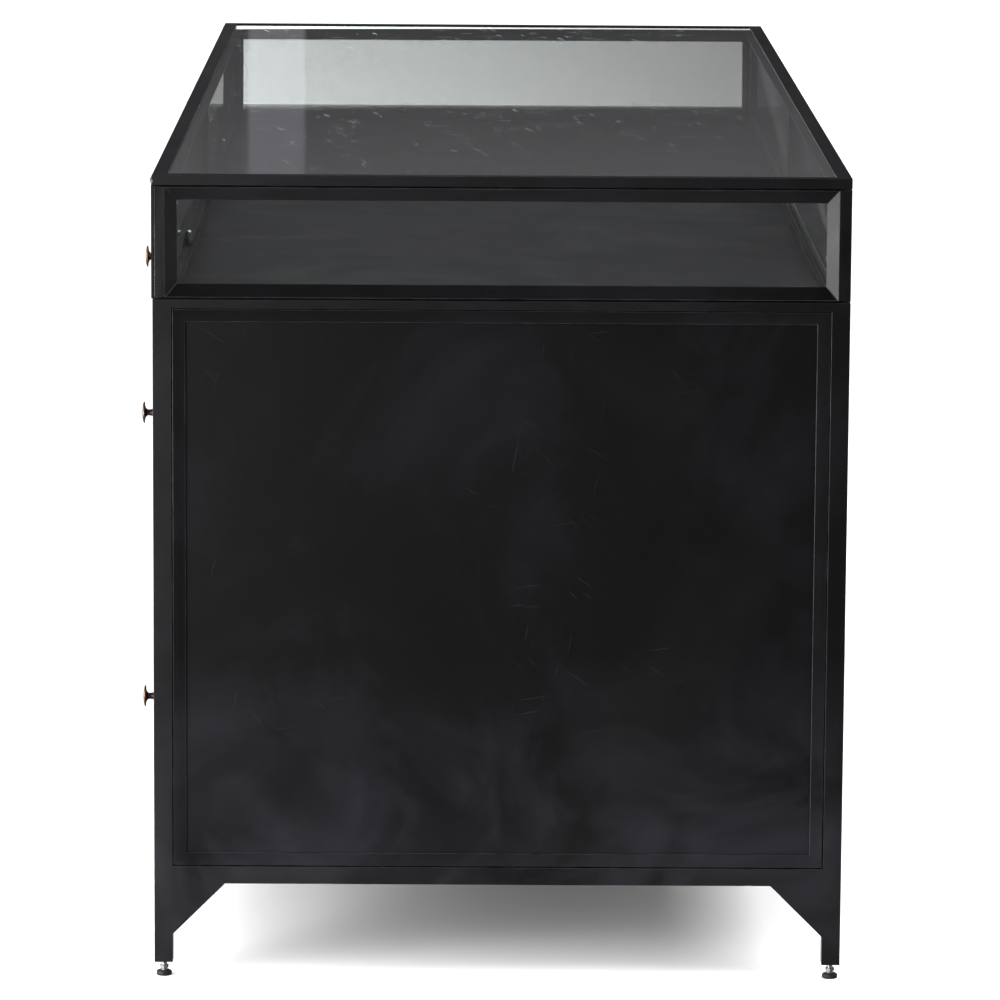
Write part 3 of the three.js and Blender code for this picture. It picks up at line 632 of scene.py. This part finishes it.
def catch(side):
    """A magnetic catch on the front rail, behind the middle of a flap's bottom rail: a housing with two
    steel cheeks and a fixing screw."""
    low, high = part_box(f"{side}_flap_frame")
    deck_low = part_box("deck")[0]
    centre = (low.x + high.x) / 2
    front = high.y + 1.2 * MM
    rear = deck_low.y - 0.5 * MM
    foot = deck_low.z + 4.1 * MM  # on the front rail
    top = foot + CATCH_HEIGHT
    bm = bmesh.new()
    half = CATCH_WIDTH / 2
    verts = block(bm, (centre - half, front, foot), (centre + half, rear, top))
    edges = list({edge for vert in verts for edge in vert.link_edges})
    bmesh.ops.bevel(bm, geom=edges, offset=0.9 * MM, segments=3, affect="EDGES")
    housing = new_object(f"{side}_catch", mesh_of(f"{side}_catch", bm), PLASTIC)
    bm = bmesh.new()
    half = CHEEK_WIDTH / 2
    for level in (top - 9.6 * MM, top - 4.4 * MM):
        low_corner = (centre - half, front - CHEEK_PROUD, level)
        high_corner = (centre + half, front + 4 * MM, level + CHEEK)
        verts = block(bm, low_corner, high_corner)
        edges = list({edge for vert in verts for edge in vert.link_edges})
        bmesh.ops.bevel(bm, geom=edges, offset=0.2 * MM, segments=1, affect="EDGES")
    screw_head(bm, Matrix.Translation((centre, (front + rear) / 2, top)), 2.6 * MM)
    steel = new_object(f"{side}_catch_steel", mesh_of(f"{side}_catch_steel", bm), ZINC)
    for piece, slot in ((housing, "black_plastic"), (steel, "zinc_plate")):
        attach(piece, "case")


# ---- camera and studio ----------------------------------------------------------------------------


def camera():
    forward = Vector((
        -math.cos(PITCH) * math.cos(YAW), math.cos(PITCH) * math.sin(YAW), -math.sin(PITCH),
    ))
    right = forward.cross(Vector((0, 0, 1))).normalized()
    up = right.cross(forward)
    across = math.cos(ROLL) * right + math.sin(ROLL) * up
    upward = across.cross(forward)
    data = bpy.data.cameras.new("camera")
    data.lens = FOCAL_LENGTH
    data.sensor_width = SENSOR
    data.clip_start = 0.1
    data.clip_end = 100
    made = bpy.data.objects.new("camera", data)
    place = Vector((CAD_HIGH.x + CAMERA_DISTANCE, CAMERA_SIDE, CAMERA_HEIGHT))
    turn = Matrix((across, upward, -forward)).transposed().to_4x4()
    made.matrix_world = Matrix.Translation(place) @ turn
    bpy.context.scene.collection.objects.link(made)
    bpy.context.scene.camera = made


def soft_light(name, place, target, size, power, glossy=True):
    """A rectangular soft light aimed at a point."""
    data = bpy.data.lights.new(name, "AREA")
    data.shape = "RECTANGLE"
    data.size, data.size_y = size
    data.energy = power
    made = bpy.data.objects.new(name, data)
    made.location = place
    made.visible_glossy = glossy
    made.rotation_euler = (Vector(target) - Vector(place)).to_track_quat("-Z", "Y").to_euler()
    bpy.context.scene.collection.objects.link(made)


def floor():
    """The studio floor. Gloss doesn't see it: it sees the world's own, dimmer floor."""
    half = 5.0
    bm = bmesh.new()
    bm.faces.new([bm.verts.new((half * x, half * y, 0)) for x, y in ((-1, -1), (1, -1), (1, 1), (-1, 1))])
    piece = new_object("floor", mesh_of("floor", bm), floor_paper())
    piece.visible_glossy = False


def world():
    """White beyond the floor, and soft light from all sides. Reflections, and what is seen through glass,
    show a studio: a dim room over a floor that fades with distance, and a bright sweep behind the case
    that ends just above the horizon, with a dark flag at each side and a pale post above it."""
    made = bpy.data.worlds.new("studio")
    made.use_nodes = True
    tree = made.node_tree

    def link(output, socket):
        tree.links.new(output, socket)

    def node(kind, **settings):
        new = tree.nodes.new(kind)
        for key, value in settings.items():
            setattr(new, key, value)
        return new

    def band(value, low, high):
        new = node("ShaderNodeMapRange")
        new.inputs["From Min"].default_value = low
        new.inputs["From Max"].default_value = high
        link(value, new.inputs["Value"])
        return new.outputs["Result"]

    def between(value, low, high):
        """1 from low to high, 0 outside."""
        new = node("ShaderNodeMath", operation="MULTIPLY")
        link(band(value, low - SOFT_EDGE, low + SOFT_EDGE), new.inputs[0])
        link(band(value, high + SOFT_EDGE, high - SOFT_EDGE), new.inputs[1])
        return new.outputs[0]

    def mix(factor, a, b):
        new = node("ShaderNodeMix", data_type="RGBA")
        link(factor, new.inputs[0])
        for socket, colour in ((new.inputs[6], a), (new.inputs[7], b)):
            if isinstance(colour, tuple):
                socket.default_value = (*colour, 1)
            else:
                link(colour, socket)
        return new.outputs[2]

    place = node("ShaderNodeTexCoord")
    split = node("ShaderNodeSeparateXYZ")
    link(place.outputs["Generated"], split.inputs[0])
    across, side, height = split.outputs
    room = mix(band(height, 0.0, 1.0), DIM_ROOM, ROOM_CEILING)
    beyond = mix(band(height, SWEEP_TOP, SWEEP_TOP + HORIZON_FADE), DIM_HORIZON, room)
    reflected = mix(band(side, *FLOOR_TURN), FLOOR_LEFT, FLOOR_RIGHT)
    front = mix(band(height, *FLOOR_TO_ROOM), reflected, room)
    sweep = mix(band(side, -SWEEP_SPREAD, SWEEP_SPREAD), SWEEP_LEFT, SWEEP_RIGHT)
    for edges in (FLAG_LEFT, FLAG_RIGHT):
        sweep = mix(between(side, *edges), sweep, FLAG)
    beyond = mix(between(side, *POST_EDGES), beyond, PALE_POST)
    tilt = node("ShaderNodeMath", operation="MULTIPLY_ADD")
    link(side, tilt.inputs[0])
    tilt.inputs[1].default_value = SWEEP_TILT
    link(height, tilt.inputs[2])
    back = mix(band(tilt.outputs[0], SWEEP_TOP, SWEEP_TOP + SWEEP_EDGE), sweep, beyond)
    studio = mix(band(across, *BACK_HALF), front, back)
    path = node("ShaderNodeLightPath")
    ambient = mix(band(across, *AMBIENT_TURN), AMBIENT, AMBIENT_FRONT)
    shown = mix(path.outputs["Is Diffuse Ray"], studio, ambient)
    shown = mix(path.outputs["Is Camera Ray"], shown, (WHITE, WHITE, WHITE))
    link(shown, tree.nodes["Background"].inputs["Color"])
    bpy.context.scene.world = made


def lights():
    """Soft lamps: most of the light is from the left, where the knobs are."""
    # The key stays below the top glass, which would mirror it.
    soft_light("key_left", (1.75, -1.4, 0.42), (0.85, -0.2, 0.42), (0.9, 0.66), 48)
    soft_light("side_left", (0.2, -3.6, 1.0), (0.0, 0, 0.4), (3.2, 1.8), 130)
    soft_light("fill_right", (1.2, 3.4, 1.5), (0.2, 0, 0.3), (2.4, 1.8), 30)
    soft_light("high_left", (0.6, -2.2, 1.8), (0.5, -0.3, 0.0), (3.0, 1.2), 54, glossy=False)
    soft_light("high_right", (0.6, 2.2, 1.8), (0.5, 0.3, 0.0), (3.0, 1.2), 90, glossy=False)
    soft_light("overhead", (0.2, 0.0, 3.6), (0.0, 0, 0), (4.0, 3.6), 160, glossy=False)


def main():
    bpy.context.scene.view_settings.view_transform = "Standard"
    camera()
    floor()
    world()
    lights()
    for name, node in NODES.items():
        dress_node(name, node)
    for side in SIDES:
        for end in ("outer", "inner"):
            knob(f"{side}_flap_knob_{end}", f"{side}_flap")
    for drawer in DRAWERS:
        for end in ("outer", "inner"):
            knob(f"{drawer}_knob_{end}", drawer)
    for node in GLIDES:
        glide(node)
    for side in SIDES:
        catch(side)


main()
